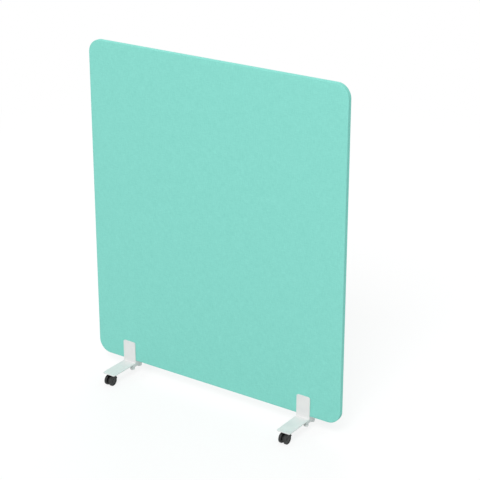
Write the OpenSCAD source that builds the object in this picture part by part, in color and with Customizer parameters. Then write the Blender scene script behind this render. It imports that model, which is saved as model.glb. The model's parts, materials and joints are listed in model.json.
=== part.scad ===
// Mobile acoustic screen: a fabric covered panel clamped in two pairs of bent steel feet on casters.
// Origin on the floor under the middle of the panel, +Z up, X along the panel, front towards -Y.

/* [Panel] */
// Width of the panel over the fabric
panel_w = 1400; // [900:10:2000]
// Height of the panel over the fabric
panel_h = 1600; // [900:10:2200]
// Thickness of the panel over the fabric
panel_t = 25; // [20:1:50]
// Radius of the panel's four corners, seen from the front
panel_r = 65; // [30:1:120]
// Rounding of the panel's long edges
rim_r = 3; // [1:0.5:6]
// Thickness of the cover fabric
skin_t = 1; // [0.6:0.1:2]
// Thickness of the felt under the fabric
felt_t = 3; // [1:0.5:5]
// Width of the timber rails and stiles
rail_w = 60; // [40:1:90]
// Length of the corner blocks' two legs
block_w = 130; // [100:1:180]
// Width of the solid timber behind each pair of brackets
clamp_block_w = 120; // [80:1:200]
// Height of that timber above the bottom rail
clamp_block_h = 60; // [40:1:120]

/* [Feet] */
// Distance from a side edge of the panel to the middle of its foot
foot_inset = 193; // [130:1:400]
// Width of a bracket
foot_w = 72; // [60:1:120]
// Distance from the inner face of a flange to the tip of its foot
foot_reach = 172; // [140:1:300]
// Height of a flange above the panel's lower edge
flange_rise = 100; // [60:1:160]
// Thickness of the bent plate
plate_t = 5; // [3:0.5:8]
// Inside radius of the bend
bend_r = 3; // [1:0.5:6]
// Radius of the flange's upper corners
flange_corner_r = 10; // [2:1:25]
// Radius of the corners at the tip
tip_corner_r = 8; // [2:1:25]
// Space between the foot plates and the panel's lower edge
panel_gap = 11; // [8:1:30]
// Thickness of the grip pads
pad_t = 1; // [0.5:0.5:3]
// Margin of bare flange round a grip pad
pad_margin = 5; // [2:1:10]

/* [Clamp] */
// Length of the clamp bridge, from front to rear
bridge_l = 76; // [70:1:110]
// Thickness of the bridge under the foot plates
bridge_t = 14; // [8:1:20]
// Diameter of the weld studs
stud_d = 8; // [5:1:10]
// Distance of a stud from the panel's middle plane
stud_y = 27; // [26:0.5:28]
// Distance of a stud from the middle of its foot
stud_x = 24; // [18:0.5:24]
// Diameter of a hand knob
knob_d = 23; // [16:1:23]
// Height of a hand knob
knob_h = 13; // [10:1:18]

/* [Casters] */
// Diameter of a wheel
wheel_d = 50; // [40:1:75]
// Width of a wheel
wheel_w = 13; // [10:0.5:20]
// Space between the two wheels of a caster
wheel_gap = 14; // [12:0.5:20]
// Distance from the swivel axis to the axle
trail = 19; // [14:0.5:25]
// Distance from a foot's tip to the swivel axis
stem_inset = 34; // [20:1:60]
// Height of the foot plates' underside above the wheels
plate_clear = 9; // [7.5:0.5:20]

/* [Hidden] */
// Smoothness of round work, and of the rounding on the long edges
$fn = 64;
rim_steps = 5;

// Clearances: running fits, gaps between moving parts, loose fits and seats
run_fit = 0.05;
turn_gap = 0.5;
loose_fit = 0.5;
seat_gap = 0.3;
// How far a cutting shape runs past what it cuts
overrun = 1;

// Panel, worked out
caster_h = wheel_d + plate_clear;
panel_z = caster_h + plate_t + panel_gap;
frame_t = panel_t - 2 * (skin_t + felt_t);
frame_w = panel_w - 2 * (skin_t + seat_gap);
frame_h = panel_h - 2 * (skin_t + seat_gap);
frame_z = panel_z + skin_t + seat_gap;
frame_r = panel_r - skin_t - seat_gap;
mid_rail_z = frame_z + (frame_h - rail_w) / 2;
rail_length = frame_w - 2 * block_w;
stile_length = frame_h - 2 * block_w;
bay_w = frame_w - 2 * rail_w;

// Feet, worked out
foot_x = panel_w / 2 - foot_inset;
flange_y = panel_t / 2 + pad_t;
flange_top = flange_rise + panel_z - caster_h;
bend_out = bend_r + plate_t;
pad_w = foot_w - 2 * pad_margin;
pad_h = flange_rise - 2 * pad_margin;

// Clamp: shares of the sizes that they follow, then what is worked out
knob_bore_share = 0.75;
knob_neck_share = 0.2;
knob_neck_d_share = 1.9;
scallop_share = 0.3;
knob_lobes = 6;
bridge_w = foot_w - 2 * seat_gap;
bridge_r = bridge_t / 3;
spine_t = 2 * (flange_y - loose_fit);
knob_bore = knob_h * knob_bore_share;
knob_neck_h = knob_h * knob_neck_share;
knob_neck_d = stud_d * knob_neck_d_share;
scallop_d = knob_d * scallop_share;
stud_length = bridge_t + knob_bore - turn_gap;

// Caster: weld nut and stem
nut_af = 17;
nut_h = 6;
hex_share = 2 / sqrt(3);
stem_d = 10;
pin_d = 8;
socket_floor = 3;
stem_y = flange_y + foot_reach - stem_inset;

// Caster: body, with the angles that the hood starts and ends at, level and then upwards
web_share = 0.56;
boss_foot_share = 0.4;
hood_gap = 1.5;
hood_t = 1.8;
hood_from = 8;
hood_to = 72;
wheel_r = wheel_d / 2;
web_t = wheel_gap - 2 * turn_gap;
web_r = wheel_r * web_share;
hood_r = wheel_r + hood_gap + hood_t;
boss_top = caster_h - nut_h - seat_gap;
boss_foot = wheel_r * boss_foot_share;
pin_foot = boss_foot + socket_floor;

// Caster: axle and wheels
axle_d = 6;
axle_wall = 2.5;
shoulder_r = 2.5;
dish_depth = 2.5;
hub_share = 0.34;
dish_share = 0.82;
axle_l = wheel_gap + 2 * (wheel_w - axle_wall);
hub_r = wheel_r * hub_share;
dish_r = wheel_r * dish_share;

// Names of the sides and faces, with their directions
sides = ["left", "right"];
faces = ["front", "rear"];
flanks = ["outer", "inner"];
levels = ["top", "bottom"];
function direction(side) = side == "left" ? -1 : 1;
function flank_direction(side, flank) = direction(side) * (flank == "outer" ? 1 : -1);

panel_nodes = ["front_cover", "back_cover", "front_felt", "back_felt", "top_rail", "bottom_rail",
    "left_stile", "right_stile", "mid_rail", "upper_infill", "lower_infill"];
corner_nodes = [for (level = levels, side = sides) str(level, "_", side, "_corner_block")];
side_nodes = [for (side = sides, piece = ["clamp_block", "grip_pads", "clamp_bridge", "weld_studs"])
    str(side, "_", piece)];
corner_pieces = ["bracket", "caster_nut", "caster_stem", "caster_body", "caster_axle"];
foot_nodes = [for (side = sides, face = faces, piece = corner_pieces) str(side, "_", face, "_", piece)];
paired_nodes = [for (side = sides, face = faces, flank = flanks, piece = ["knob", "wheel"])
    str(side, "_", face, "_", flank, "_", piece)];

// Colours
mint = [0.54, 0.86, 0.81];
felt_grey = [0.62, 0.64, 0.64];
infill_grey = [0.45, 0.47, 0.48];
timber = [0.80, 0.66, 0.46];
white_paint = [0.90, 0.91, 0.91];
clamp_grey = [0.72, 0.75, 0.74];
black_plastic = [0.13, 0.13, 0.13];
bare_steel = [0.68, 0.69, 0.70];
black_rubber = [0.08, 0.08, 0.08];

// Flat outlines

// Rectangle with round corners, centred
module round_plate(w, h, r) {
    square([w - 2 * r, h], center = true);
    square([w, h - 2 * r], center = true);
    for (x = [-1, 1], y = [-1, 1]) translate([x * (w / 2 - r), y * (h / 2 - r)]) circle(r = r);
}

// Strip standing on the X axis, with its two far corners rounded
module tongue(w, l, r) {
    translate([-w / 2, 0]) square([w, l - r]);
    translate([r - w / 2, 0]) square([w - 2 * r, l]);
    for (x = [-1, 1]) translate([x * (w / 2 - r), l - r]) circle(r = r);
}

// Section of a bent bracket: X is the distance out from the flange's inner face, Y the height
module bracket_section() {
    translate([0, bend_out]) square([plate_t, flange_top - bend_out]);
    translate([bend_out, 0]) square([foot_reach - bend_out, plate_t]);
    intersection() {
        square(bend_out);
        translate([bend_out, bend_out]) difference() {
            circle(r = bend_out);
            circle(r = bend_r);
        }
    }
}

// Placing

// Stands a flat outline up, facing the front, and gives it a thickness centred on the panel
module upright(t) {
    rotate([90, 0, 0]) linear_extrude(t, center = true) children();
}

// Turns what is drawn facing +Y to the front or to the rear
module facing(face) {
    if (face == "front") mirror([0, 1, 0]) children();
    else children();
}

// Middle of one foot, with +Y pointing outwards from the panel's face
module at_foot(side, face) {
    translate([direction(side) * foot_x, 0, 0]) facing(face) children();
}

// Where a caster's swivel axis meets the floor
module at_stem(side, face) {
    at_foot(side, face) translate([0, stem_y, 0]) children();
}

// Middle of a caster's axle, seen from the foot of its swivel axis
module at_axle() {
    translate([0, trail, wheel_r]) children();
}

// Panel

// Solid of the whole panel with rounded long edges, facing +Y from the middle plane
module soft_half() {
    hull() for (x = [-1, 1], z = [-1, 1])
        translate([x * (panel_w / 2 - panel_r), 0, panel_z + panel_h / 2 + z * (panel_h / 2 - panel_r)])
            rotate([-90, 0, 0]) rotate_extrude($fn = 80) rim_section();
}

// Half section of the panel's corner, from the middle plane out to the rounded edge
module rim_section() {
    arc = [for (i = [0:rim_steps]) 90 * i / rim_steps];
    polygon(concat([[0, 0], [panel_r, 0]],
        [for (a = arc) [panel_r - rim_r * (1 - cos(a)), panel_t / 2 - rim_r * (1 - sin(a))]],
        [[0, panel_t / 2]]));
}

// One cover: a tray of fabric that wraps the edge as far as the middle seam
module cover(face) {
    color(mint) facing(face) difference() {
        soft_half();
        translate([0, (panel_t / 2 - skin_t - overrun) / 2, panel_z + panel_h / 2])
            upright(panel_t / 2 - skin_t + overrun)
                round_plate(panel_w - 2 * skin_t, panel_h - 2 * skin_t, panel_r - skin_t);
    }
}

module front_cover() { cover("front"); }
module back_cover() { cover("rear"); }

// One sheet of felt between the frame and a cover
module felt(face) {
    color(felt_grey) facing(face)
        translate([0, (frame_t + felt_t) / 2, panel_z + panel_h / 2])
            upright(felt_t) round_plate(frame_w, frame_h, frame_r);
}

module front_felt() { felt("front"); }
module back_felt() { felt("rear"); }

// A straight timber of the frame, by its lower middle and its size
module timber_bar(x, z, w, h) {
    color(timber) translate([x - w / 2, -frame_t / 2, z]) cube([w, frame_t, h]);
}

module top_rail() { timber_bar(0, frame_z + frame_h - rail_w, rail_length, rail_w); }
module bottom_rail() { timber_bar(0, frame_z, rail_length, rail_w); }
module mid_rail() { timber_bar(0, mid_rail_z, bay_w, rail_w); }
module left_stile() { timber_bar((rail_w - frame_w) / 2, frame_z + block_w, rail_w, stile_length); }
module right_stile() { timber_bar((frame_w - rail_w) / 2, frame_z + block_w, rail_w, stile_length); }

// L shaped block as wide as the rails, with one round corner
module corner_block(level, side) {
    color(timber)
        translate([direction(side) * (frame_w / 2), 0, frame_z + (level == "top" ? frame_h : 0)])
            mirror([side == "right" ? 1 : 0, 0, 0]) mirror([0, 0, level == "top" ? 1 : 0])
                upright(frame_t) difference() {
                    square(block_w);
                    translate([rail_w, rail_w]) square(block_w);
                    difference() {
                        translate([-overrun, -overrun]) square(frame_r + overrun);
                        translate([frame_r, frame_r]) circle(r = frame_r);
                    }
                }
}

// Solid timber that the brackets press on, standing on the bottom rail
module clamp_block(side) {
    timber_bar(direction(side) * foot_x, frame_z + rail_w, clamp_block_w, clamp_block_h);
}

// Acoustic core above the mid rail, and below it round the clamp blocks
module upper_infill() {
    color(infill_grey) bay(mid_rail_z + rail_w, frame_z + frame_h - rail_w);
}

module lower_infill() {
    color(infill_grey) difference() {
        bay(frame_z + rail_w, mid_rail_z);
        for (side = sides) translate([
            direction(side) * foot_x - clamp_block_w / 2 - seat_gap,
            -frame_t / 2 - overrun,
            frame_z + rail_w - overrun])
            cube([clamp_block_w + 2 * seat_gap, frame_t + 2 * overrun, clamp_block_h + overrun]);
    }
}

module bay(low, high) {
    translate([-bay_w / 2, -frame_t / 2, low]) cube([bay_w, frame_t, high - low]);
}

// Feet

// Bent plate: a flange up the panel's face and a foot along the floor
module bracket(side, face) {
    color(white_paint) at_foot(side, face) translate([0, flange_y, caster_h]) intersection() {
        rotate([90, 0, 90]) linear_extrude(foot_w, center = true) bracket_section();
        translate([0, foot_reach / 2, 0]) upright(foot_reach) tongue(foot_w, flange_top, flange_corner_r);
        linear_extrude(flange_top) tongue(foot_w, foot_reach, tip_corner_r);
    }
}

// Thin pads between the flanges and the fabric, one on each face
module grip_pads(side) {
    color(black_rubber) for (face = faces) at_foot(side, face)
        translate([0, (panel_t + pad_t) / 2, panel_z + flange_rise / 2])
            upright(pad_t) round_plate(pad_w, pad_h, flange_corner_r / 2);
}

// Bar under both foot plates, with a spine between the flanges that the panel stands on
module clamp_bridge(side) {
    color(clamp_grey) translate([direction(side) * foot_x, 0, caster_h]) difference() {
        union() {
            translate([0, 0, -bridge_t]) linear_extrude(bridge_t) round_plate(bridge_w, bridge_l, bridge_r);
            translate([-bridge_w / 2, -spine_t / 2, -bridge_t / 2])
                cube([bridge_w, spine_t, bridge_t / 2 + plate_t + panel_gap]);
        }
        for (x = [-1, 1], y = [-1, 1]) translate([x * stud_x, y * stud_y, -bridge_t - overrun])
            cylinder(d = stud_d + 2 * loose_fit, h = bridge_t + 2 * overrun);
    }
}

// Threaded studs welded under the foot plates
module weld_studs(side) {
    color(bare_steel) for (face = faces, x = [-1, 1]) at_foot(side, face)
        translate([x * stud_x, stud_y, caster_h - stud_length]) cylinder(d = stud_d, h = stud_length);
}

// Hand knob screwed on a stud from below
module knob(side, face, flank) {
    color(clamp_grey) at_foot(side, face)
        translate([flank_direction(side, flank) * stud_x, stud_y, caster_h - bridge_t - knob_h])
            difference() {
                union() {
                    cylinder(d = knob_d, h = knob_h - knob_neck_h);
                    cylinder(d = knob_neck_d, h = knob_h);
                }
                for (i = [1:knob_lobes]) rotate([0, 0, 360 * i / knob_lobes])
                    translate([knob_d / 2 + scallop_d / 4, 0, -overrun])
                        cylinder(d = scallop_d, h = knob_h - knob_neck_h + 2 * overrun);
                translate([0, 0, knob_h - knob_bore])
                    cylinder(d = stud_d + 2 * run_fit, h = knob_bore + overrun);
            }
}

// Casters, each trailing outwards from its swivel axis

// Hexagon nut welded under the foot plate
module caster_nut(side, face) {
    color(white_paint) at_stem(side, face) translate([0, 0, caster_h - nut_h]) difference() {
        cylinder(d = nut_af * hex_share, h = nut_h, $fn = 6);
        translate([0, 0, -overrun]) cylinder(d = stem_d + 2 * run_fit, h = nut_h + 2 * overrun);
    }
}

// Threaded stem, with a plain pin below that the caster swivels on
module caster_stem(side, face) {
    color(bare_steel) at_stem(side, face) {
        translate([0, 0, caster_h - nut_h]) cylinder(d = stem_d, h = nut_h);
        translate([0, 0, pin_foot]) cylinder(d = pin_d, h = caster_h - nut_h - pin_foot + overrun);
    }
}

// Body between the wheels: web, socket for the pin, and hood over the side towards the panel
module caster_body(side, face) {
    color(black_plastic) at_stem(side, face) difference() {
        union() {
            translate([0, 0, boss_foot]) cylinder(d = web_t, h = boss_top - boss_foot);
            at_axle() rotate([90, 0, -90]) {
                linear_extrude(web_t, center = true) {
                    circle(r = web_r);
                    pie(hood_r - hood_t / 2, 0);
                }
                linear_extrude(wheel_gap + 2 * wheel_w, center = true) pie(hood_r, wheel_r + hood_gap);
            }
        }
        translate([0, 0, pin_foot - run_fit]) cylinder(d = pin_d + 2 * run_fit, h = caster_h);
        at_axle() rotate([0, 90, 0])
            cylinder(d = axle_d + 2 * run_fit, h = 2 * wheel_gap, center = true);
    }
}

// Slice of a disc or ring over the hood's arc
module pie(outer, inner) {
    intersection() {
        difference() {
            circle(r = outer);
            if (inner > 0) circle(r = inner);
        }
        polygon([[0, 0],
            2 * outer * [cos(hood_from), sin(hood_from)],
            2 * outer * [1, 1],
            2 * outer * [cos(hood_to), sin(hood_to)]]);
    }
}

module caster_axle(side, face) {
    color(bare_steel) at_stem(side, face) at_axle()
        rotate([0, 90, 0]) cylinder(d = axle_d, h = axle_l, center = true);
}

// Solid wheel with a dished outer face, bored from its inner face
module wheel(side, face, flank) {
    way = flank_direction(side, flank);
    color(black_plastic) at_stem(side, face) at_axle() translate([way * wheel_gap / 2, 0, 0])
        rotate([0, 90 * way, 0]) rotate_extrude() wheel_section();
}

// X is the radius, Y runs from the inner face out
module wheel_section() {
    difference() {
        union() {
            square([wheel_r - shoulder_r, wheel_w]);
            translate([0, shoulder_r]) square([wheel_r, wheel_w - 2 * shoulder_r]);
            for (y = [shoulder_r, wheel_w - shoulder_r]) translate([wheel_r - shoulder_r, y])
                circle(r = shoulder_r);
        }
        translate([hub_r, wheel_w - dish_depth]) square([dish_r - hub_r, dish_depth + overrun]);
        translate([hub_r, -overrun]) square([dish_r - hub_r, dish_depth + overrun]);
        translate([-overrun, -overrun])
            square([axle_d / 2 + run_fit + overrun, wheel_w - axle_wall + seat_gap + overrun]);
    }
}

front_cover();
back_cover();
front_felt();
back_felt();
top_rail();
bottom_rail();
left_stile();
right_stile();
mid_rail();
upper_infill();
lower_infill();
for (level = levels, side = sides)
    corner_block(level, side);
for (side = sides) {
    clamp_block(side);
    grip_pads(side);
    clamp_bridge(side);
    weld_studs(side);
}
for (side = sides, face = faces) {
    bracket(side, face);
    caster_nut(side, face);
    caster_stem(side, face);
    caster_body(side, face);
    caster_axle(side, face);
}
for (side = sides, face = faces, flank = flanks) {
    knob(side, face, flank);
    wheel(side, face, flank);
}
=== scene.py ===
import json
import math

import bmesh
import bpy
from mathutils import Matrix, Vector, noise


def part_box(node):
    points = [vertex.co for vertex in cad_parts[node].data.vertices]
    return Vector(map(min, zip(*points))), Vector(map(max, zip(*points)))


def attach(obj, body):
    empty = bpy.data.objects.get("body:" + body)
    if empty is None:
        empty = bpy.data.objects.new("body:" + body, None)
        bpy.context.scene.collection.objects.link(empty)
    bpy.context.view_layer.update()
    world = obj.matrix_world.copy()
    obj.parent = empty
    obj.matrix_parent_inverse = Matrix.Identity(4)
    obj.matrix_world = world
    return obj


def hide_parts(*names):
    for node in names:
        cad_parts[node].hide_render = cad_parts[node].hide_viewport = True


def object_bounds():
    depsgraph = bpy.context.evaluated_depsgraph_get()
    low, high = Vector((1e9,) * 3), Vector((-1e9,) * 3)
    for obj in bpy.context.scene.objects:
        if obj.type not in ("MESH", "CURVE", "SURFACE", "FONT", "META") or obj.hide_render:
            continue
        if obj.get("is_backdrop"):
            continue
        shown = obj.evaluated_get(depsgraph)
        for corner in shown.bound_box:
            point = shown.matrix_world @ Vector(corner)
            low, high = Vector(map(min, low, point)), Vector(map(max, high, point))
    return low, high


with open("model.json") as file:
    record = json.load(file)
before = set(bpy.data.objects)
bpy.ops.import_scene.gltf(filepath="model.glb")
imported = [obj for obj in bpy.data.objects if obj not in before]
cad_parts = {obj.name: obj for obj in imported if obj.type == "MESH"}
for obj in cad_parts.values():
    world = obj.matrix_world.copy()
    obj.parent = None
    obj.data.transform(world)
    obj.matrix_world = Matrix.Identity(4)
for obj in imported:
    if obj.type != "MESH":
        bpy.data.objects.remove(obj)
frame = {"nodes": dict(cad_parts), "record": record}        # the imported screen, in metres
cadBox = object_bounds()
print("frame loaded")

mm = 0.001
sides = ("left", "right")
faces = ("front", "rear")
flanks = ("outer", "inner")
outwards = {"front": -1, "rear": 1}        # which way each face looks along Y
joints = {joint["name"]: joint for joint in frame["record"]["behaviour"]["joints"]}
slotOf = {part["node"]: part["material_slot"] for part in frame["record"]["subparts"]}


# Colours and shader nodes

def linear(red, green, blue):
    # a colour as a screen shows it, 0 to 255, turned into light
    def light(tone):
        return tone / 12.92 if tone <= 0.04045 else ((tone + 0.055) / 1.055) ** 2.4

    return [light(tone / 255) for tone in (red, green, blue)] + [1.0]


def feed(tree, socket, value):
    if isinstance(value, bpy.types.NodeSocket):
        tree.links.new(value, socket)
    else:
        socket.default_value = value


def addNode(tree, kind, inputs=None, **settings):
    node = tree.nodes.new("ShaderNode" + kind)
    for name, value in settings.items():
        setattr(node, name, value)
    for name, value in (inputs or {}).items():
        feed(tree, node.inputs[name], value)
    return node


def calc(tree, operation, *values):
    node = tree.nodes.new("ShaderNodeMath")
    node.operation = operation
    for socket, value in zip(node.inputs, values):
        feed(tree, socket, value)
    return node.outputs[0]


def stretch(tree, place, x, y, z):
    # squeezes the pattern's space, so that a grain can be long one way
    return addNode(tree, "VectorMath", {0: place, 1: (x, y, z)}, operation="MULTIPLY").outputs[0]


def cloud(tree, place, scale, detail=2.0, roughness=0.5, centred=True):
    # soft noise, about -0.5 to 0.5, or 0 to 1 where it isn't centred
    inputs = {"Vector": place, "Scale": scale, "Detail": detail, "Roughness": roughness}
    value = addNode(tree, "TexNoise", inputs).outputs["Fac"]
    return calc(tree, "SUBTRACT", value, 0.5) if centred else value


def spread(tree, value, span, newSpan=(0.0, 1.0)):
    # carries a value from one span over to another, and holds it at the ends
    names = ("Value", "From Min", "From Max", "To Min", "To Max")
    return addNode(tree, "MapRange", dict(zip(names, (value, *span, *newSpan)))).outputs[0]


def mixColours(tree, share, first, second):
    node = addNode(tree, "Mix", data_type="RGBA")
    sockets = (node.inputs[0], node.inputs[6], node.inputs[7])
    for socket, value in zip(sockets, (share, first, second)):
        feed(tree, socket, value)
    return node.outputs[2]


def tinted(tree, pattern, span, dark, light):
    # dark at the start of the pattern's span, light at its end
    return mixColours(tree, spread(tree, pattern, span), linear(*dark), linear(*light))


def raised(tree, height, depth):
    # bump from a height of about 0 to 1, in metres
    return addNode(tree, "Bump", {"Height": height, "Distance": depth}).outputs[0]


def startMaterial(name):
    made = bpy.data.materials.new(name)
    made.use_nodes = True
    tree = made.node_tree
    shader = tree.nodes["Principled BSDF"]
    place = addNode(tree, "TexCoord").outputs["Object"]
    return made, tree, shader, place


def finish(tree, shader, colour, roughness, normal):
    feed(tree, shader.inputs["Base Color"], colour)
    feed(tree, shader.inputs["Roughness"], roughness)
    feed(tree, shader.inputs["Normal"], normal)


# Finishes, one for each material of the screen. Scales are in noise cells a metre, and a drift
# is how much the noise moves a value.

clothLook = {
    "darkYarn": (128, 210, 197),
    "lightYarn": (147, 228, 215),
    "pitch": 1.3 * mm,       # from one thread to the next
    "crossing": 0.2,         # how softly one thread gives way to the other
    "stray": 0.6 * mm,       # how far the threads leave their straight line
    "strayScale": 45.0,
    "relief": 0.09 * mm,     # how far the threads stand up
    "plump": 0.8,            # and how much further the light ones do
    "melange": 1.5,          # contrast between single threads
    "threadRun": 0.045,      # how much slower a thread changes along than across
    "mottle": 0.55,          # contrast of the slow patches
    "mottleScale": 17.0,
    "slubs": 0.5,            # contrast of the longer thick threads
    "slubAcross": 190.0,
    "slubAlong": 40.0,
    "roughness": 0.9,
    "roughnessDrift": 0.15,
    "specular": 0.25,
    "sheen": 0.08,
    "sheenRoughness": 0.45,
}


def mintCloth():
    look = clothLook
    made, tree, shader, _ = startMaterial("mint woven cloth")
    place = addNode(tree, "Attribute", attribute_name="clothPlace").outputs["Vector"]
    wander = addNode(tree, "TexNoise", {"Vector": place, "Scale": look["strayScale"], "Detail": 1.0})
    shift = stretch(tree, wander.outputs["Color"], look["stray"], look["stray"], 0.0)
    threads = addNode(tree, "VectorMath", {0: place, 1: shift}, operation="ADD").outputs[0]
    parts = addNode(tree, "SeparateXYZ", {0: threads})
    pace = math.pi / look["pitch"]
    waves = [calc(tree, "SINE", calc(tree, "MULTIPLY", parts.outputs[k], pace)) for k in (0, 1)]
    crossing = calc(tree, "MULTIPLY", *waves)
    warpOnTop = spread(tree, crossing, (-look["crossing"], look["crossing"]))

    across, along = 1 / look["pitch"], look["threadRun"] / look["pitch"]
    warp = cloud(tree, stretch(tree, threads, across, along, 1.0), 1.0, detail=1.0)
    weft = cloud(tree, stretch(tree, threads, along, across, 1.0), 1.0, detail=1.0)
    yarn = addNode(tree, "Mix", {0: warpOnTop, 2: weft, 3: warp}).outputs[0]

    patches = cloud(tree, place, look["mottleScale"], detail=5.0, roughness=0.85)
    across, along = look["slubAcross"], look["slubAlong"]
    upright = cloud(tree, stretch(tree, place, across, along, 1.0), 1.0, detail=1.0)
    level = cloud(tree, stretch(tree, place, along, across, 1.0), 1.0, detail=1.0)
    slubs = calc(tree, "ADD", upright, level)
    tone = calc(tree, "MULTIPLY_ADD", yarn, look["melange"], 0.5)
    tone = calc(tree, "MULTIPLY_ADD", patches, look["mottle"], tone)
    tone = calc(tree, "MULTIPLY_ADD", slubs, look["slubs"], tone)

    height = calc(tree, "SQRT", calc(tree, "ABSOLUTE", crossing))
    height = calc(tree, "MULTIPLY_ADD", yarn, look["plump"], height)
    colour = mixColours(tree, tone, linear(*look["darkYarn"]), linear(*look["lightYarn"]))
    roughness = calc(tree, "MULTIPLY_ADD", yarn, look["roughnessDrift"], look["roughness"])
    finish(tree, shader, colour, roughness, raised(tree, height, look["relief"]))
    shader.inputs["Specular IOR Level"].default_value = look["specular"]
    shader.inputs["Sheen Weight"].default_value = look["sheen"]
    shader.inputs["Sheen Roughness"].default_value = look["sheenRoughness"]
    shader.inputs["Sheen Tint"].default_value = linear(*look["lightYarn"])
    return made


paintLook = {
    "white": (234, 234, 233),
    "shade": (228, 228, 228),
    "film": (-0.2, 0.2),     # noise at which the paint is darkest and lightest
    "filmScale": 22.0,
    "peel": 0.035 * mm,      # depth of the orange peel
    "peelScale": 520.0,
    "fine": 0.25,            # share of a finer grain in it
    "fineScale": 2600.0,
    "roughness": 0.62,
    "rubbed": (0.58, 0.72),  # noise at which rubbing starts and is full
    "rubbedScale": 65.0,
    "rubbedDrift": 0.12,     # how much duller it is there
}


def whitePaint():
    look = paintLook
    made, tree, shader, place = startMaterial("white powder coat")
    peel = cloud(tree, place, look["peelScale"])
    fine = cloud(tree, place, look["fineScale"], detail=1.0)
    film = cloud(tree, place, look["filmScale"], detail=3.0)
    wiped = stretch(tree, place, 1.0, 1.0, 0.3)
    rub = cloud(tree, wiped, look["rubbedScale"], detail=4.0, roughness=0.7, centred=False)
    colour = tinted(tree, film, look["film"], look["shade"], look["white"])
    rubbed = spread(tree, rub, look["rubbed"])
    roughness = calc(tree, "MULTIPLY_ADD", rubbed, look["rubbedDrift"], look["roughness"])
    height = calc(tree, "MULTIPLY_ADD", fine, look["fine"], peel)
    finish(tree, shader, colour, roughness, raised(tree, height, look["peel"]))
    return made


clampLook = {
    "grey": (226, 230, 229),
    "shade": (219, 224, 223),
    "grain": 0.03 * mm,
    "grainScale": 1500.0,
    "roughness": 0.52,
    "scuffs": 0.05,          # how much dust the rubbed places hold
}

casterLook = {
    "grey": (35, 36, 36),
    "shade": (28, 29, 29),
    "grain": 0.025 * mm,
    "grainScale": 2100.0,
    "roughness": 0.54,
    "scuffs": 0.09,
}

mouldLook = {                # what the two moulded plastics share
    "flow": (-0.2, 0.2),
    "flowScale": 60.0,
    "rubbed": (0.56, 0.7),
    "rubbedScale": 380.0,
    "rubbedDrift": 0.14,
    "dust": (170, 168, 164),
}


def mouldedPlastic(name, look):
    both = mouldLook
    made, tree, shader, place = startMaterial(name)
    grain = cloud(tree, place, look["grainScale"])
    flow = cloud(tree, place, both["flowScale"], detail=3.0)
    wiped = stretch(tree, place, 1.0, 0.35, 1.0)
    rub = cloud(tree, wiped, both["rubbedScale"], detail=3.0, roughness=0.65, centred=False)
    rubbed = spread(tree, rub, both["rubbed"])
    colour = tinted(tree, flow, both["flow"], look["shade"], look["grey"])
    dusty = mixColours(tree, calc(tree, "MULTIPLY", rubbed, look["scuffs"]), colour, linear(*both["dust"]))
    roughness = calc(tree, "MULTIPLY_ADD", rubbed, both["rubbedDrift"], look["roughness"])
    finish(tree, shader, dusty, roughness, raised(tree, grain, look["grain"]))
    return made


zincLook = {
    "dark": (190, 192, 192),
    "light": (212, 212, 208),
    "spangle": (-0.25, 0.25),
    "spangleScale": 240.0,
    "drawn": 0.01 * mm,      # depth of the fine lines round the bars
    "drawnScale": 1800.0,
    "roughness": 0.32,
    "roughnessDrift": 0.2,
}


def zincPlate():
    look = zincLook
    made, tree, shader, place = startMaterial("zinc plated steel")
    spangle = cloud(tree, place, look["spangleScale"], detail=3.0)
    drawn = cloud(tree, stretch(tree, place, 1.0, 1.0, 0.08), look["drawnScale"])
    colour = tinted(tree, spangle, look["spangle"], look["dark"], look["light"])
    roughness = calc(tree, "MULTIPLY_ADD", spangle, look["roughnessDrift"], look["roughness"])
    finish(tree, shader, colour, roughness, raised(tree, drawn, look["drawn"]))
    shader.inputs["Metallic"].default_value = 1.0
    return made


rubberLook = {
    "black": (30, 30, 31),
    "dusty": (52, 51, 50),
    "dust": (-0.2, 0.3),
    "dustScale": 90.0,
    "pores": 0.03 * mm,
    "poreScale": 2400.0,
    "roughness": 0.85,
    "roughnessDrift": 0.1,
}


def gripRubber():
    look = rubberLook
    made, tree, shader, place = startMaterial("black grip rubber")
    dust = cloud(tree, place, look["dustScale"], detail=4.0)
    pores = cloud(tree, place, look["poreScale"], detail=1.0)
    colour = tinted(tree, dust, look["dust"], look["black"], look["dusty"])
    roughness = calc(tree, "MULTIPLY_ADD", dust, look["roughnessDrift"], look["roughness"])
    finish(tree, shader, colour, roughness, raised(tree, pores, look["pores"]))
    return made


woodLook = {
    "late": (196, 158, 108),
    "early": (222, 194, 148),
    "ring": 4 * mm,          # from one growth ring to the next
    "ringSpan": (0.2, 0.8),  # tone between them
    "bend": 50 * mm,         # how far the rings swing
    "bendScale": 3.0,
    "fibre": 0.05 * mm,
    "fibreScale": 500.0,
    "fibreShare": 0.5,
    "roughness": 0.62,
    "roughnessDrift": 0.2,
}


def softwood():
    look = woodLook
    made, tree, shader, place = startMaterial("planed softwood")
    bend = cloud(tree, place, look["bendScale"])
    parts = addNode(tree, "SeparateXYZ", {0: place})
    ring = calc(tree, "ADD", parts.outputs[1], calc(tree, "MULTIPLY", bend, look["bend"]))
    ring = calc(tree, "SINE", calc(tree, "MULTIPLY", ring, 2 * math.pi / look["ring"]))
    fibre = cloud(tree, place, look["fibreScale"], detail=3.0)
    rings = spread(tree, ring, (-1.0, 1.0), look["ringSpan"])
    share = calc(tree, "MULTIPLY_ADD", fibre, look["fibreShare"], rings)
    colour = mixColours(tree, share, linear(*look["late"]), linear(*look["early"]))
    roughness = calc(tree, "MULTIPLY_ADD", fibre, look["roughnessDrift"], look["roughness"])
    finish(tree, shader, colour, roughness, raised(tree, fibre, look["fibre"]))
    return made


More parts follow.
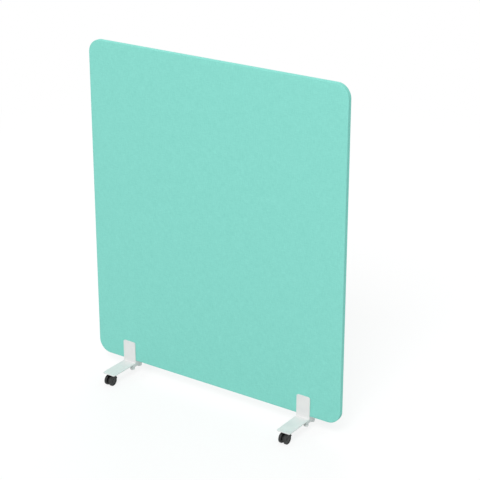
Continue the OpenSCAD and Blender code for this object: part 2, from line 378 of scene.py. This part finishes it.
feltLook = {"dark": (140, 146, 146), "light": (172, 176, 176), "scale": 900.0, "depth": 0.3 * mm}
infillLook = {"dark": (98, 103, 106), "light": (132, 137, 139), "scale": 420.0, "depth": 0.4 * mm}

pressedLook = {              # what the two share
    "laid": 0.4,             # how much the fibres lie along the height
    "fibres": (-0.25, 0.25),
    "fibreSpan": (0.1, 0.9),
    "clumpSize": 12,         # in fibres
    "roughness": 0.95,
}


def pressedFibre(name, look):
    both = pressedLook
    made, tree, shader, place = startMaterial(name)
    laid = stretch(tree, place, 1.0, 1.0, both["laid"])
    fibre = cloud(tree, laid, look["scale"], detail=4.0, roughness=0.7)
    clump = cloud(tree, place, look["scale"] / both["clumpSize"])
    share = calc(tree, "ADD", spread(tree, fibre, both["fibres"], both["fibreSpan"]), clump)
    colour = mixColours(tree, share, linear(*look["dark"]), linear(*look["light"]))
    finish(tree, shader, colour, both["roughness"], raised(tree, fibre, look["depth"]))
    return made


finishes = {
    "cover_fabric": mintCloth(),
    "foot_paint": whitePaint(),
    "clamp_plastic": mouldedPlastic("light grey moulded plastic", clampLook),
    "caster_plastic": mouldedPlastic("black moulded nylon", casterLook),
    "plated_steel": zincPlate(),
    "grip_rubber": gripRubber(),
    "timber": softwood(),
    "felt": pressedFibre("pressed felt", feltLook),
    "infill": pressedFibre("fibre board", infillLook),
}
print("finishes made:", len(finishes))


# Shapes

def band(first, second):
    # faces between two rings of the same length
    return [(first[k - 1], first[k], second[k], second[k - 1]) for k in range(len(first))]


def curve(radius, steps, start=0.0, end=90.0):
    # a quarter round as (inset, depth), from the face over to the side
    turns = [math.radians(start + (end - start) * step / steps) for step in range(steps + 1)]
    return [(radius * (1 - math.sin(turn)), radius * (1 - math.cos(turn))) for turn in turns]


def bothEdges(thickness, radius, steps=3):
    # rim of a plate with both of its edges rounded
    near = curve(radius, steps)
    return near + [(inset, thickness - depth) for inset, depth in reversed(near)]


def plateSize(width, length, corners, cornerSteps, columns, step):
    # corners are the radii at the plate's start and end; between them its rows lie a step apart
    low, high = corners[0], length - corners[1]
    count = max(1, round((high - low) / step))
    rows = [low + (high - low) * k / count for k in range(1, count)]
    return {
        "width": width, "length": length, "corners": corners,
        "cornerSteps": cornerSteps, "columns": columns, "rows": rows,
    }


def plateRows(size, inset):
    # rows across a plate with round corners, drawn in by inset: half the width, and the place along
    half, steps = size["width"] / 2, size["cornerSteps"]
    ends = []
    for radius in size["corners"]:
        arc = []
        for step in range(steps + 1):
            turn = math.pi / 2 * step / steps
            wide = half - radius + (radius - inset) * math.sin(turn)
            arc.append((wide, radius - (radius - inset) * math.cos(turn)))
        ends.append(arc)
    middle = [(half - inset, along) for along in size["rows"]]
    return ends[0] + middle + [(wide, size["length"] - along) for wide, along in reversed(ends[1])]


def plate(size, rim, put, backed=True):
    # a plate with round corners; rim is (inset, depth) from the near face round to the far one
    columns = size["columns"]
    verts, quads = [], []

    def spot(rows, i, j, depth):
        half, along = rows[i]
        verts.append(put(half * (2 * j / columns - 1), along, depth))
        return len(verts) - 1

    def sheetOf(inset, depth):
        rows = plateRows(size, inset)
        grid = [[spot(rows, i, j, depth) for j in range(columns + 1)] for i in range(len(rows))]
        for a, b in zip(grid, grid[1:]):
            quads.extend((a[j], a[j + 1], b[j + 1], b[j]) for j in range(columns))
        return grid

    near = sheetOf(*rim[0])
    last = len(near) - 1
    edge = [(0, j) for j in range(columns + 1)] + [(i, columns) for i in range(1, last + 1)]
    edge += [(last, j) for j in range(columns - 1, -1, -1)] + [(i, 0) for i in range(last - 1, 0, -1)]
    ring = [near[i][j] for i, j in edge]
    for inset, depth in rim[1:-1] if backed else rim[1:]:
        rows = plateRows(size, inset)
        fresh = [spot(rows, i, j, depth) for i, j in edge]
        quads.extend(band(ring, fresh))
        ring = fresh
    if backed:
        far = sheetOf(*rim[-1])
        quads.extend(band(ring, [far[i][j] for i, j in edge]))
    return verts, quads


def turned(profile, count, put, shape=None, closed=False):
    # a turned piece; shape bends each ring's radius, and an open profile is closed at both ends
    verts, quads, rings = [], [], []
    for radius, along in profile:
        for k in range(count):
            turn = 2 * math.pi * k / count
            reach = shape(turn, radius) if shape else radius
            verts.append(put(reach * math.cos(turn), reach * math.sin(turn), along))
        rings.append(list(range(len(verts) - count, len(verts))))
    for first, second in zip(rings, rings[1:] + rings[:1] if closed else rings[1:]):
        quads.extend(band(first, second))
    if not closed:
        for ring, (_, along) in ((rings[0], profile[0]), (rings[-1], profile[-1])):
            verts.append(put(0.0, 0.0, along))
            quads.extend((ring[k - 1], ring[k], len(verts) - 1) for k in range(count))
    return verts, quads


drill = {
    "corners": 64,
    "twist": 0.017,          # radians, so that no corner of a hole falls on an edge
    "past": 1 * mm,          # how far it runs past what it cuts
}


def drilled(radius, low, high, put):
    # the round bar that a hole is cut with
    cosine, sine = math.cos(drill["twist"]), math.sin(drill["twist"])

    def twisted(x, y, along):
        return put(x * cosine - y * sine, x * sine + y * cosine, along)

    return turned([(radius, low), (radius, high)], drill["corners"], twisted)


def withMesh(mesh, change):
    # lets bmesh change a mesh
    work = bmesh.new()
    work.from_mesh(mesh)
    change(work)
    work.to_mesh(mesh)
    work.free()


def meshOf(name, shapes):
    verts, quads = [], []
    for points, ties in shapes:
        start = len(verts)
        verts += points
        quads += [tuple(start + k for k in tie) for tie in ties]
    mesh = bpy.data.meshes.new(name)
    mesh.from_pydata(verts, [], quads)
    withMesh(mesh, lambda work: bmesh.ops.recalc_face_normals(work, faces=work.faces))
    return mesh


sameSpot = 0.003 * mm        # corners closer than this are one


def carved(name, solids, holes):
    # welds overlapping solids into one shell, then takes the holes out of it
    tools = [("UNION", solid) for solid in solids] + [("DIFFERENCE", hole) for hole in holes]
    pieces = []
    for _, shape in tools:
        pieces.append(bpy.data.objects.new(name, meshOf(name, [shape])))
        bpy.context.scene.collection.objects.link(pieces[-1])
    first = pieces[0]
    for (operation, _), piece in list(zip(tools, pieces))[1:]:
        step = first.modifiers.new("carve", "BOOLEAN")
        step.operation = operation
        step.solver = "EXACT"
        step.object = piece
    view = bpy.context.evaluated_depsgraph_get()
    mesh = bpy.data.meshes.new_from_object(first.evaluated_get(view), depsgraph=view)
    for piece in pieces:
        spent = piece.data
        bpy.data.objects.remove(piece)
        bpy.data.meshes.remove(spent)
    withMesh(mesh, lambda work: bmesh.ops.remove_doubles(work, verts=work.verts, dist=sameSpot))
    mesh.name = name
    return mesh


def buildPiece(name, shapes, body, *nodes, sharp=32.0, holes=None):
    # sharp is in degrees: edges that bend more stay crisp
    mesh = meshOf(name, shapes) if holes is None else carved(name, shapes, holes)
    mesh.polygons.foreach_set("use_smooth", [True] * len(mesh.polygons))
    mesh.set_sharp_from_angle(angle=math.radians(sharp))
    slotName = slotOf[nodes[0]]
    mesh.materials.append(finishes[slotName])
    piece = bpy.data.objects.new(name, mesh)
    bpy.context.scene.collection.objects.link(piece)
    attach(piece, body)
    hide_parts(*nodes)
    return piece


# Covers: one sheet of cloth on each face, wrapped round the edge to a seam along its middle

coverMake = {
    "cornerRadius": 65 * mm,
    "edgeRadius": 3.2 * mm,
    "fall": 0.35 * mm,       # how far the face sinks towards its edge
    "fallRun": 34 * mm,
    "tuck": 1.2 * mm,        # how far the cloth turns in at the seam, short of the timber
    "cloth": 0.8 * mm,
    "step": 13 * mm,         # size of the mesh on the face
    "cornerSteps": 30,
    "fallSteps": 6,
    "edgeSteps": 7,
    "sideSteps": 4,
    "lip": 0.94,             # share of the depth at which the cloth starts to turn in
    "seam": 0.059,           # and what it still gains before the seam
    "seamTurn": ((0.12, 0.5), (0.45, 0.87), (1.0, 1.0)),        # shares of the tuck, and of that gain
    "billow": 0.22 * mm,     # slow unevenness of the stretched face
    "billowScale": 5.5,
    "ripple": 0.12 * mm,     # waves along the seam
    "rippleNoise": (24, 9.0),        # its scale and its layer
    "gathers": 0.32 * mm,    # folds where the cloth turns the corners
    "gatherPitch": 8.5 * mm,
    "gatherNoise": (30, 3.0),
    "padMargin": 22 * mm,    # flat ground round the clamped pads
    "roundSaves": 0.43,      # cloth that a round edge saves, in radii
    "crisp": 80.0,
}


def smooth(value):
    value = min(1.0, max(0.0, value))
    return value * value * (3 - 2 * value)


def edgeNoise(x, z, scale, layer):
    return noise.noise(Vector((scale * x, layer, scale * z)))


def coverRim(depthAll):
    # the cloth's way from the face over the edge and down the side into the seam
    make = coverMake
    edge, fall, fallRun, steps = make["edgeRadius"], make["fall"], make["fallRun"], make["fallSteps"]
    rim = []
    for step in range(steps):
        run = step / steps
        rim.append((fallRun + (edge - fallRun) * run, fall * run ** 2))
    rim += [(inset, fall + depth) for inset, depth in curve(edge, make["edgeSteps"])]
    straight, lip, steps = fall + edge, depthAll * make["lip"], make["sideSteps"]
    rim += [(0.0, straight + (lip - straight) * k / steps) for k in range(1, steps + 1)]
    for inwards, onwards in make["seamTurn"]:
        rim.append((make["tuck"] * inwards, depthAll * (make["lip"] + make["seam"] * onwards)))
    return rim


def makeCover(face):
    make = coverMake
    node = {"front": "front_cover", "rear": "back_cover"}[face]
    low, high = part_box(node)
    depthAll = high.y - low.y
    radius = make["cornerRadius"]
    width, length = high.x - low.x, high.z - low.z
    columns = round(width / make["step"])
    size = plateSize(width, length, (radius, radius), make["cornerSteps"], columns, make["step"])
    pads = [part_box(side + "_grip_pads") for side in sides]
    clothPlaces = []        # where each corner lies on the cloth when it is laid flat

    def put(across, along, depth):
        x, z = across, low.z + along
        coreX = max(-width / 2 + radius, min(width / 2 - radius, x))
        coreZ = max(low.z + radius, min(high.z - radius, z))
        way = Vector((x - coreX, z - coreZ))
        way = way.normalized() if way.length > 1e-6 else way
        clear = 1.0
        for padLow, padHigh in pads:
            gapX = max(padLow.x - x, x - padHigh.x, 0.0)
            gapZ = max(padLow.z - z, z - padHigh.z, 0.0)
            clear = min(clear, smooth(math.hypot(gapX, gapZ) / make["padMargin"]))
        onFace = 1 - smooth(depth / (2 * make["fall"]))
        slow = noise.noise(Vector((make["billowScale"] * x, make["billowScale"] * z, outwards[face])))
        swell = make["billow"] * clear * onFace * (0.5 + slow)
        towardSeam = smooth(depth / depthAll)
        bend = abs(way.x * way.y) * 2
        turn = math.atan2(way.y, way.x)
        stray = 2 * edgeNoise(x, z, *make["gatherNoise"])
        folds = math.sin(turn * radius * 2 * math.pi / make["gatherPitch"] + stray)
        slack = make["gathers"] * bend * folds + make["ripple"] * edgeNoise(x, z, *make["rippleNoise"])
        move = way * (towardSeam * (slack - make["ripple"]))
        clothPlaces.append((x + way.x * depth, z + way.y * depth, 0.0))
        return x + move.x, outwards[face] * (depthAll - depth + swell), z + move.y

    shapes = [plate(size, coverRim(depthAll), put, backed=False)]
    cover = buildPiece(node + "_cloth", shapes, "screen", node, sharp=make["crisp"])
    places = cover.data.attributes.new("clothPlace", "FLOAT_VECTOR", "POINT")
    places.data.foreach_set("vector", [number for spot in clothPlaces for number in spot])
    thick = cover.modifiers.new("cloth", "SOLIDIFY")
    thick.thickness = make["cloth"]
    thick.offset = -1.0
    return cover


for face in faces:
    makeCover(face)
print("covers made")


# Brackets: 5 mm plate, bent once, with a flange on the panel and a foot along the floor

bracketMake = {
    "plate": 5 * mm,
    "bendRadius": 3 * mm,
    "flangeCorner": 10 * mm,
    "tipCorner": 8 * mm,
    "edge": 0.9 * mm,
    "bendSteps": 10,
    "cornerSteps": 8,
    "columns": 8,
    "step": 12 * mm,
    "bendMargin": 2 * mm,    # no plain row of the mesh lies closer to the bend's rows
}


def makeBracket(side, face):
    make = bracketMake
    node = f"{side}_{face}_bracket"
    low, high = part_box(node)
    middle = (low.x + high.x) / 2
    flangeFace = min(abs(low.y), abs(high.y)) + make["plate"]
    tip = max(abs(low.y), abs(high.y))
    top, footTop = high.z, low.z + make["plate"]
    bendOut, bendUp = flangeFace + make["bendRadius"], footTop + make["bendRadius"]
    flangeRun, bendRun = top - bendUp, make["bendRadius"] * math.pi / 2
    corners = (make["flangeCorner"], make["tipCorner"])
    length = flangeRun + bendRun + tip - bendOut
    size = plateSize(high.x - low.x, length, corners, make["cornerSteps"], make["columns"], make["step"])
    bend = [flangeRun + bendRun * k / make["bendSteps"] for k in range(make["bendSteps"] + 1)]
    plain = [row for row in size["rows"] if min(abs(row - b) for b in bend) > make["bendMargin"]]
    size["rows"] = sorted(plain + bend)

    def put(across, along, depth):
        if along <= flangeRun:
            out, up = flangeFace - depth, top - along
        elif along <= flangeRun + bendRun:
            turn = (along - flangeRun) / make["bendRadius"]
            reach = make["bendRadius"] + depth
            out, up = bendOut - reach * math.cos(turn), bendUp - reach * math.sin(turn)
        else:
            out, up = bendOut + along - flangeRun - bendRun, footTop - depth
        return middle + across, outwards[face] * out, up

    rim = bothEdges(make["plate"], make["edge"])
    buildPiece(node + "_plate", [plate(size, rim, put)], "screen", node)


# Grip pads: thin rubber between the flanges and the cloth

padMake = {
    "corner": 5 * mm,
    "edge": 0.3 * mm,
    "edgeSteps": 2,
    "cornerSteps": 5,
    "columns": 6,
    "step": 15 * mm,
}


def makePads(side):
    make = padMake
    node = side + "_grip_pads"
    low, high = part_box(node)
    middle = (low.x + high.x) / 2
    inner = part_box("front_cover")[0].y        # the cloth's own face, towards the front
    corners = (make["corner"], make["corner"])
    width, length = high.x - low.x, high.z - low.z
    size = plateSize(width, length, corners, make["cornerSteps"], make["columns"], make["step"])
    rim = bothEdges(high.y + inner, make["edge"], make["edgeSteps"])
    shapes = []
    for way in outwards.values():
        put = lambda x, along, depth: (middle + x, way * (high.y - depth), low.z + along)
        shapes.append(plate(size, rim, put))
    buildPiece(node + "_rubber", shapes, "screen", node)


# Clamp bridges: a moulded bar under both foot plates, with the spine that carries the panel

bridgeMake = {
    "corner": 4.7 * mm,
    "cornerSteps": 6,
    "edge": 1.4 * mm,        # rounding of the bar, and how far the spine reaches into it
    "edgeSteps": 4,
    "step": 9 * mm,
    "columns": 10,
    "spineGap": 0.5 * mm,    # to the flange on either side
    "spineEdge": 0.8 * mm,
    "spineCorner": 1.6 * mm,
    "spineCornerSteps": 4,
    "spineStep": 6 * mm,
    "stud": 4 * mm,          # radius of the studs, and of the holes round them
    "hole": 4.5 * mm,
}


def makeBridge(side):
    make = bridgeMake
    node = side + "_clamp_bridge"
    low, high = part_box(node)
    middle = (low.x + high.x) / 2
    bracketLow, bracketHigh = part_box(side + "_front_bracket")
    barTop, flangeInner = bracketLow.z, abs(bracketHigh.y)
    width, columns = high.x - low.x, make["columns"]
    corners = (make["corner"], make["corner"])
    size = plateSize(width, high.y - low.y, corners, make["cornerSteps"], columns, make["step"])
    rim = bothEdges(barTop - low.z, make["edge"], make["edgeSteps"])
    shapes = [plate(size, rim, lambda x, y, z: (middle + x, low.y + y, barTop - z))]

    spineHalf = flangeInner - make["spineGap"]
    corners = (make["spineCorner"], make["spineCorner"])
    size = plateSize(width, 2 * spineHalf, corners, make["spineCornerSteps"], columns, make["spineStep"])
    foot = barTop - make["edge"]
    rim = bothEdges(high.z - foot, make["spineEdge"])
    shapes.append(plate(size, rim, lambda x, y, z: (middle + x, y - spineHalf, high.z - z)))

    studLow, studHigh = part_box(side + "_weld_studs")
    studX, studY = (studHigh.x - studLow.x) / 2 - make["stud"], studHigh.y - make["stud"]
    holes = []
    for wayX in (-1, 1):
        for wayY in (-1, 1):
            put = lambda x, y, z: (middle + wayX * studX + x, wayY * studY + y, z)
            holes.append(drilled(make["hole"], low.z - drill["past"], barTop + drill["past"], put))
    buildPiece(node + "_moulding", shapes, "screen", node, holes=holes)


# Hand knobs with six finger lobes, under the bridge

knobMake = {
    "lobes": 6,
    "hollow": 1.75 * mm,     # how deep the finger hollows are
    "hollowHalf": 19.0,      # degrees from the middle of a hollow to where it ends
    "neck": 7.6 * mm,        # radius
    "neckShare": 0.2,        # of the knob's height
    "neckEdge": 0.4 * mm,
    "fillet": (0.9 * mm, 0.3 * mm),        # where the neck runs out into the lobes
    "topRound": 1.6 * mm,
    "topSteps": 5,
    "footRound": 1.2 * mm,
    "footSteps": 4,
    "bore": 4.05 * mm,       # radius
    "boreShare": 0.75,       # of the knob's height
    "recess": 0.5 * mm,      # dish in the underside, and the shares of the radius that it spans
    "recessShares": (0.66, 0.62, 0.3),
    "count": 96,
    "crisp": 50.0,
}


def makeKnob(side, face, flank):
    make = knobMake
    node = f"{side}_{face}_{flank}_knob"
    low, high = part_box(node)
    middleX, middleY = (low.x + high.x) / 2, (low.y + high.y) / 2
    reach, tall = (high.y - low.y) / 2, high.z - low.z
    shoulder = tall * (1 - make["neckShare"])
    neck, pitch = make["neck"], 360 / make["lobes"]

    def lobed(turn, radius):
        # the hollows lie where the solid knob has them, the first along X
        away = abs((math.degrees(turn) + pitch / 2) % pitch - pitch / 2)
        share = smooth((radius - neck) / (reach - neck))
        return radius - make["hollow"] * share * (1 - smooth(away / make["hollowHalf"]))

    bore, edge = make["bore"], make["neckEdge"]
    wide, slim = make["fillet"]
    outer, inner, middle = [reach * share for share in make["recessShares"]]
    profile = [(bore, tall * (1 - make["boreShare"])), (bore, tall - edge)]
    profile += [(bore + edge, tall), (neck - edge, tall), (neck, tall - edge)]
    profile += [(neck, shoulder + wide), (neck + slim, shoulder + slim), (neck + wide, shoulder)]
    topEdge = curve(make["topRound"], make["topSteps"])
    footEdge = reversed(curve(make["footRound"], make["footSteps"]))
    profile += [(reach - inset, shoulder - depth) for inset, depth in topEdge]
    profile += [(reach - inset, depth) for inset, depth in footEdge]
    profile += [(outer, 0.0), (inner, make["recess"]), (middle, make["recess"])]
    put = lambda x, y, z: (middleX + x, middleY + y, low.z + z)
    shapes = [turned(profile, make["count"], put, lobed)]
    buildPiece(node + "_moulding", shapes, node, node, sharp=make["crisp"])


# Weld nuts that hold the casters' stems

nutMake = {
    "acrossFlats": 17 * mm,
    "bore": 5.05 * mm,       # radius
    "boreEdge": 0.6 * mm,
    "chamfer": 0.9 * mm,     # height of the chamfer at the corners
    "chamferSteps": 4,
    "faceInset": 0.1 * mm,   # how far the lower face stays inside the flats
    "count": 96,
    "crisp": 25.0,
}


def makeNut(side, face):
    make = nutMake
    node = f"{side}_{face}_caster_nut"
    low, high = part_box(node)
    middleX, middleY = (low.x + high.x) / 2, (low.y + high.y) / 2
    flat, bore, edge = make["acrossFlats"] / 2, make["bore"], make["boreEdge"]
    corner = flat / math.cos(math.pi / 6)
    rim = flat - make["faceInset"]

    def hexagon(turn, radius):
        return min(radius, flat / math.cos(turn % (math.pi / 3) - math.pi / 6))

    profile = [(bore, high.z), (bore, low.z + edge), (bore + edge, low.z), (rim, low.z)]
    for step in range(1, make["chamferSteps"] + 1):
        share = step / make["chamferSteps"]
        profile.append((rim + (corner - rim) * share, low.z + make["chamfer"] * share))
    profile.append((corner, high.z))
    put = lambda x, y, z: (middleX + x, middleY + y, z)
    shapes = [turned(profile, make["count"], put, hexagon, closed=True)]
    buildPiece(node + "_hexagon", shapes, "screen", node, sharp=make["crisp"])


# Casters: a body with a socket and a hood, and a pair of dished wheels

casterMake = {
    "hoodRadius": 28.3 * mm,
    "hood": 1.8 * mm,        # its thickness
    "hoodFrom": 8.0,         # degrees above level, on the side towards the panel
    "hoodTo": 72.0,
    "hoodCorner": 3.5 * mm,
    "hoodEdge": 0.7 * mm,
    "hoodStep": 1.6 * mm,
    "hoodColumns": 12,
    "cornerSteps": 5,
    "web": 13 * mm,
    "webRadius": 14 * mm,
    "webFlat": 6 * mm,       # how far in from its edge the web's flat face starts
    "webRound": 0.6 * mm,
    "webSteps": 3,
    "webCount": 122,
    "blend": 7.0,            # degrees over which the web swells out to the hood
    "boss": 6.6 * mm,        # radius of the socket, a hair proud of the web's faces
    "bossFoot": 10 * mm,     # height of its lower end
    "bossFlat": 3 * mm,
    "bossRound": 1.4 * mm,
    "bossSteps": 4,
    "bossCount": 48,
    "headRound": 0.5 * mm,
    "headSteps": 3,
    "groove": ((3.4 * mm, 0.0), (3.0 * mm, 0.5 * mm), (2.2 * mm, 0.5 * mm), (1.8 * mm, 0.0)),
    "bossFloor": 2.95 * mm,  # left under the hole for the pin
    "pinHole": 4.05 * mm,    # radius
    "axleHole": 3.05 * mm,
    "crisp": 40.0,
}


def makeCasterBody(side, face):
    make = casterMake
    node = f"{side}_{face}_caster_body"
    low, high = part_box(node)
    swivel = Vector(joints[f"{side}_{face}_swivel_turn"]["pos_m"])
    axle = Vector(joints[f"{side}_{face}_outer_wheel_roll"]["pos_m"])
    way = outwards[face]
    hoodRadius, hood = make["hoodRadius"], make["hood"]
    length = hoodRadius * math.radians(make["hoodTo"] - make["hoodFrom"])
    corners = (make["hoodCorner"], make["hoodCorner"])
    columns, step = make["hoodColumns"], make["hoodStep"]
    size = plateSize(high.x - low.x, length, corners, make["cornerSteps"], columns, step)

    def onHood(across, along, depth):
        turn = math.radians(make["hoodFrom"]) + along / hoodRadius
        reach = hoodRadius - depth
        return swivel.x + across, axle.y - way * reach * math.cos(turn), axle.z + reach * math.sin(turn)

    def webReach(turn, inset):
        # round below, and out to the middle of the hood's thickness over its arc
        angle = math.degrees(turn) % 360
        rise = smooth((angle - make["hoodFrom"] + make["blend"]) / make["blend"])
        rise *= 1 - smooth((angle - make["hoodTo"]) / make["blend"])
        return make["webRadius"] + (hoodRadius - hood / 2 - make["webRadius"]) * rise - inset

    half = make["web"] / 2
    webRim = [(make["webFlat"], -half)]
    webRim += [(inset, depth - half) for inset, depth in curve(make["webRound"], make["webSteps"])]
    webRim += [(inset, -across) for inset, across in reversed(webRim)]
    onWeb = lambda toPanel, up, across: (swivel.x + across, axle.y - way * toPanel, axle.z + up)

    boss, foot, head = make["boss"], make["bossFoot"], high.z
    socket = [(boss - make["bossFlat"], foot)]
    socket += [(boss - inset, foot + depth) for inset, depth in curve(make["bossRound"], make["bossSteps"])]
    socket += [(boss - deep, head - below) for below, deep in make["groove"]]
    headEdge = reversed(curve(make["headRound"], make["headSteps"]))
    socket += [(boss - inset, head - depth) for inset, depth in headEdge]
    onBoss = lambda x, y, z: (swivel.x + x, swivel.y + y, z)

    shapes = [
        plate(size, bothEdges(hood, make["hoodEdge"]), onHood),
        turned(webRim, make["webCount"], onWeb, webReach),
        turned(socket, make["bossCount"], onBoss),
    ]
    holes = [
        drilled(make["pinHole"], foot + make["bossFloor"], head + drill["past"], onBoss),
        drilled(make["axleHole"], -make["web"], make["web"], onWeb),
    ]
    body = f"{side}_{face}_swivel"
    buildPiece(node + "_moulding", shapes, body, node, sharp=make["crisp"], holes=holes)


wheelMake = {
    "shoulder": 2.5 * mm,
    "shoulderFrom": 10.0,    # degrees that the shoulder's round starts at
    "shoulderSteps": 6,
    "hubShare": 0.34,        # of the wheel's radius
    "dishShare": 0.82,
    "dishDepth": 2.5 * mm,
    "dishFall": 0.92,        # depth at the dish's rim, as a share of that at the hub
    "soften": 0.6 * mm,
    "bore": 3.05 * mm,       # radius
    "boreDepth": 10.8 * mm,
    "boreEdge": 0.3 * mm,
    "crown": 0.12 * mm,      # how much lower the tread is at its edges
    "tread": (0.4, 0.5, 0.6),        # its rows, in shares of the width
    "hubCrown": 0.05 * mm,
    "count": 96,
    "crisp": 38.0,
}


def makeWheel(side, face, flank):
    make = wheelMake
    node = f"{side}_{face}_{flank}_wheel"
    low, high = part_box(node)
    middleY, middleZ = (low.y + high.y) / 2, (low.z + high.z) / 2
    radius, wide = (high.z - low.z) / 2, high.x - low.x
    swivel = Vector(joints[f"{side}_{face}_swivel_turn"]["pos_m"])
    way = 1 if low.x + high.x > 2 * swivel.x else -1
    inner = low.x if way > 0 else high.x
    hub, dish = radius * make["hubShare"], radius * make["dishShare"]
    deep, soft = make["dishDepth"], make["soften"]

    def dished(mirror):
        # one face from its hub out to the shoulder: radius, and how deep below the face
        steps = [(hub - soft, 0.0), (hub - soft / 3, soft / 3), (hub, soft)]
        steps += [(hub + soft, deep - soft / 2), (hub + 2 * soft, deep)]
        steps += [(dish - 2.4 * soft, deep * make["dishFall"])]
        steps += [(dish - soft, deep - soft), (dish, soft), (dish + soft / 3, soft / 3), (dish + soft, 0.0)]
        return [(r, wide - depth) if mirror else (r, depth) for r, depth in steps]

    def crowned(points):
        rows = []
        for r, along in points:
            off = abs(along / wide - 0.5)        # from the middle of the tread
            rows.append((min(r, radius - make["crown"] * off ** 2 * 8), along))
        return rows

    shoulder = curve(make["shoulder"], make["shoulderSteps"], make["shoulderFrom"])
    near = [(radius - inset, depth) for inset, depth in shoulder]
    tread = [(radius, wide * share) for share in make["tread"]]
    far = [(r, wide - along) for r, along in reversed(near)]
    bore, edge = make["bore"], make["boreEdge"]
    profile = [(bore, make["boreDepth"]), (bore, edge), (bore + edge, 0.0)]
    profile += dished(False) + crowned(near + tread + far) + dished(True)[::-1]
    profile += [(hub * 0.6, wide - make["hubCrown"]), (hub * 0.2, wide)]
    put = lambda y, z, along: (inner + way * along, middleY + y, middleZ + z)
    buildPiece(node + "_moulding", [turned(profile, make["count"], put)], node, node, sharp=make["crisp"])


for side in sides:
    makePads(side)
    makeBridge(side)
    for face in faces:
        makeBracket(side, face)
        makeNut(side, face)
        makeCasterBody(side, face)
        for flank in flanks:
            makeKnob(side, face, flank)
            makeWheel(side, face, flank)
    print(side, "foot made")


# The pieces inside the panel, the studs, stems and axles keep their solids

for node, piece in frame["nodes"].items():
    for slot in piece.material_slots:
        slot.material = finishes[slotOf[node]]
print("inner pieces finished")


# Studio

studio = {
    "floorSize": 60.0,
    "floorTone": 1.0,        # what the camera sees of the floor
    "floorBounce": 0.66,     # what it throws back at the screen
    "shadow": 0.2,           # how much of a shadow the camera sees
    "shadowFade": (2.0, 5.0),        # and the distances over which it ends
    "ambient": 0.56,
    "keyPower": 1340.0,
    "keyPlace": (4.0, -10.5, 12.0),
    "keySize": 5.0,
    "fillPower": 520.0,
    "fillPlace": (-6.0, 9.0, 6.0),
    "fillSize": 6.0,
    "aim": (0.0, 0.0, 0.85),
}


def seenDirectly(tree):
    # 1 for rays of the camera, and for those in gloss or glass
    path = addNode(tree, "LightPath")
    seen = calc(tree, "MAXIMUM", path.outputs["Is Camera Ray"], path.outputs["Is Glossy Ray"])
    return calc(tree, "MAXIMUM", seen, path.outputs["Is Transmission Ray"])


def makeFloor():
    half = studio["floorSize"] / 2
    corners = [(-half, -half, 0), (half, -half, 0), (half, half, 0), (-half, half, 0)]
    mesh = bpy.data.meshes.new("floor")
    mesh.from_pydata(corners, [], [(0, 1, 2, 3)])
    floor = bpy.data.objects.new("floor", mesh)
    bpy.context.scene.collection.objects.link(floor)
    made = bpy.data.materials.new("pale floor")
    made.use_nodes = True
    tree = made.node_tree
    tree.nodes.clear()
    tone, bounce = studio["floorTone"], studio["floorBounce"]
    plain = addNode(tree, "BsdfDiffuse", {"Color": (bounce, bounce, bounce, 1)})
    shaded = addNode(tree, "BsdfDiffuse", {"Color": (tone, tone, tone, 1)})
    white = addNode(tree, "Emission", {"Color": (1, 1, 1, 1), "Strength": 1.0})
    place = addNode(tree, "TexCoord").outputs["Object"]
    away = addNode(tree, "VectorMath", {0: place}, operation="LENGTH").outputs["Value"]
    share = spread(tree, away, studio["shadowFade"], (studio["shadow"], 0.0))
    shown = addNode(tree, "MixShader", {0: share, 1: white.outputs[0], 2: shaded.outputs[0]})
    both = addNode(tree, "MixShader", {0: seenDirectly(tree), 1: plain.outputs[0], 2: shown.outputs[0]})
    addNode(tree, "OutputMaterial", {"Surface": both.outputs[0]})
    mesh.materials.append(made)
    floor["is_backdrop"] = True


def makeWorld():
    world = bpy.data.worlds.new("studio")
    bpy.context.scene.world = world
    world.use_nodes = True
    tree = world.node_tree
    back = tree.nodes["Background"]
    back.inputs["Color"].default_value = (1, 1, 1, 1)
    strength = spread(tree, seenDirectly(tree), (0.0, 1.0), (studio["ambient"], 1.0))
    feed(tree, back.inputs["Strength"], strength)


def addLamp(name):
    place = Vector(studio[name + "Place"])
    lamp = bpy.data.lights.new(name, "AREA")
    lamp.energy = studio[name + "Power"]
    lamp.size = studio[name + "Size"]
    holder = bpy.data.objects.new(name, lamp)
    holder.location = place
    holder.rotation_euler = (Vector(studio["aim"]) - place).to_track_quat("-Z", "Y").to_euler()
    bpy.context.scene.collection.objects.link(holder)


cameraMake = {
    "azimuth": 34.5,         # degrees to the right of the front
    "elevation": 21.85,
    "distance": 6.78,
    "aim": (0.144, 0.0, 0.855),
    "lens": 111.9,
    "sensor": 36.0,
    "sight": 200.0,          # how far it sees, in metres
}


def makeCamera():
    make = cameraMake
    azimuth, elevation = math.radians(make["azimuth"]), math.radians(make["elevation"])
    level = math.cos(elevation)
    back = Vector((math.sin(azimuth) * level, -math.cos(azimuth) * level, math.sin(elevation)))
    camera = bpy.data.objects.new("camera", bpy.data.cameras.new("camera"))
    camera.data.lens = make["lens"]
    camera.data.sensor_width = make["sensor"]
    camera.data.clip_end = make["sight"]
    camera.location = Vector(make["aim"]) + back * make["distance"]
    camera.rotation_euler = back.to_track_quat("Z", "Y").to_euler()
    bpy.context.scene.collection.objects.link(camera)
    bpy.context.scene.camera = camera


makeFloor()
makeWorld()
addLamp("key")
addLamp("fill")
makeCamera()
bpy.context.scene.view_settings.view_transform = "Standard"
print("studio ready")

boxes = {"cad": cadBox, "visual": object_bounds()}
{name: [list(corner) for corner in box] for name, box in boxes.items()}
